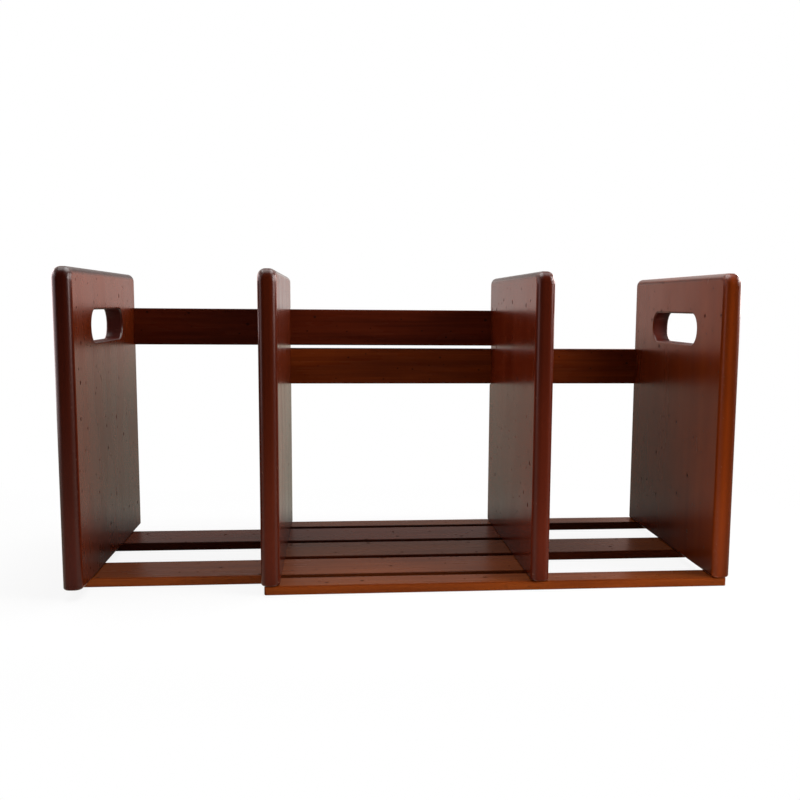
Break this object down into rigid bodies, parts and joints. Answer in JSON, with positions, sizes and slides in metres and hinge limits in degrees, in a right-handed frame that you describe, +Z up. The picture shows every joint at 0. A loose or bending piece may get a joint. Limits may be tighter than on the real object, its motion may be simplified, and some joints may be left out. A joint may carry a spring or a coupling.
{
  "type": "desktop book rack",
  "caption": "Wooden desktop book rack of two interlocking frames with slatted base, rear rails and end panels with hand slots, which slide apart to lengthen the shelf.",
  "frame": {"origin": "on the desk under the middle of the rack, as pictured: part way out", "axes": "+X to the right along the slide, +Y to the rear, +Z up"},
  "size_m": [0.43, 0.185, 0.206],
  "materials": {
    "panel_wood": "gloss lacquer, red-brown stain, grain upright",
    "rail_wood": "gloss lacquer, red-brown stain, grain lengthwise",
    "slat_wood": "gloss lacquer, red-brown stain, grain lengthwise",
    "screw_steel": "zinc plated"
  },
  "bodies": {
    "left_frame": {"left_end_panel": "panel_wood", "left_frame_inner_panel": "panel_wood", "upper_rail": "rail_wood", "left_frame_front_slat": "slat_wood", "left_frame_rear_slat": "slat_wood", "upper_rail_end_screws": "screw_steel", "upper_rail_inner_screws": "screw_steel", "left_frame_front_slat_end_screws": "screw_steel", "left_frame_front_slat_inner_screws": "screw_steel", "left_frame_rear_slat_end_screws": "screw_steel", "left_frame_rear_slat_inner_screws": "screw_steel"},
    "right_frame": {"right_frame_inner_panel": "panel_wood", "right_end_panel": "panel_wood", "lower_rail": "rail_wood", "right_frame_front_slat": "slat_wood", "right_frame_middle_slat": "slat_wood", "right_frame_rear_slat": "slat_wood", "lower_rail_end_screws": "screw_steel", "lower_rail_inner_screws": "screw_steel", "right_frame_front_slat_end_screws": "screw_steel", "right_frame_front_slat_inner_screws": "screw_steel", "right_frame_middle_slat_end_screws": "screw_steel", "right_frame_middle_slat_inner_screws": "screw_steel", "right_frame_rear_slat_end_screws": "screw_steel", "right_frame_rear_slat_inner_screws": "screw_steel"}
  },
  "joints": [
    {"name": "frame_slide", "type": "slide", "parent": "left_frame", "child": "right_frame", "axis": [1, 0, 0], "range_m": [-0.1097, 0.1617]}
  ]
}
